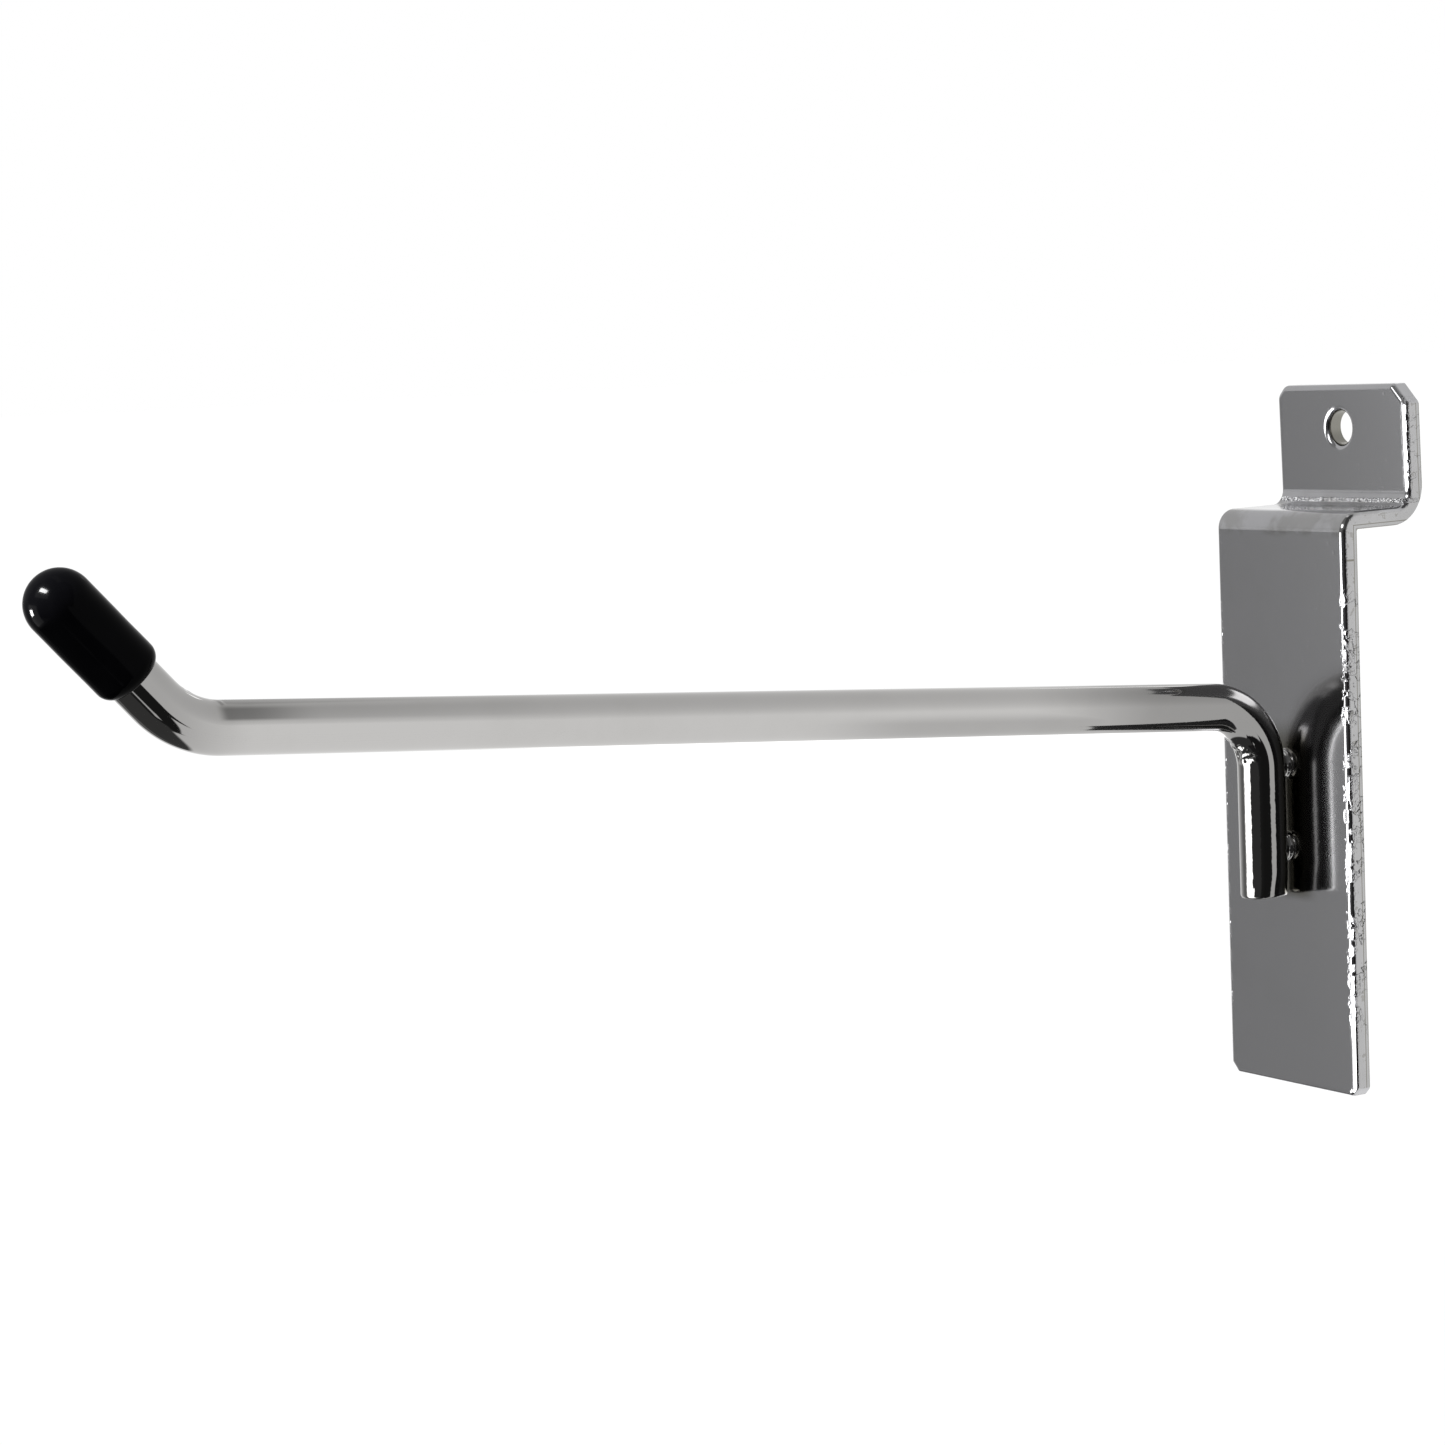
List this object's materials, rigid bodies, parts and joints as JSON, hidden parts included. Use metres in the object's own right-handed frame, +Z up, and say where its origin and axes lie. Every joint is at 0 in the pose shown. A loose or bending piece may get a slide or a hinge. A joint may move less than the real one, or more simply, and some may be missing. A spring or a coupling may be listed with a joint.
{
  "type": "slatwall hook",
  "caption": "Chromed slatwall display hook: a folded steel back plate whose lip stands in a slat's groove carries a welded wire arm with an upturned, capped tip.",
  "frame": {"origin": "inner corner under the shoulder of the back plate, in the middle of its width, where the hook sits on the edge of the slat", "axes": "+Y runs into the wall, square to the back plate; +Z is up; +X runs along the wall; the arm points along -Y"},
  "size_m": [0.025, 0.1832, 0.0902],
  "materials": {
    "plate_chrome": "bright plated, slightly soft over rolled sheet",
    "wire_chrome": "bright plated",
    "weld_chrome": "bright plated over the weld bead",
    "cap_vinyl": "glossy soft vinyl"
  },
  "bodies": {
    "root": {"back_plate": "plate_chrome", "hook_wire": "wire_chrome", "lower_weld": "weld_chrome", "upper_weld": "weld_chrome", "tip_cap": "cap_vinyl"}
  },
  "joints": []
}
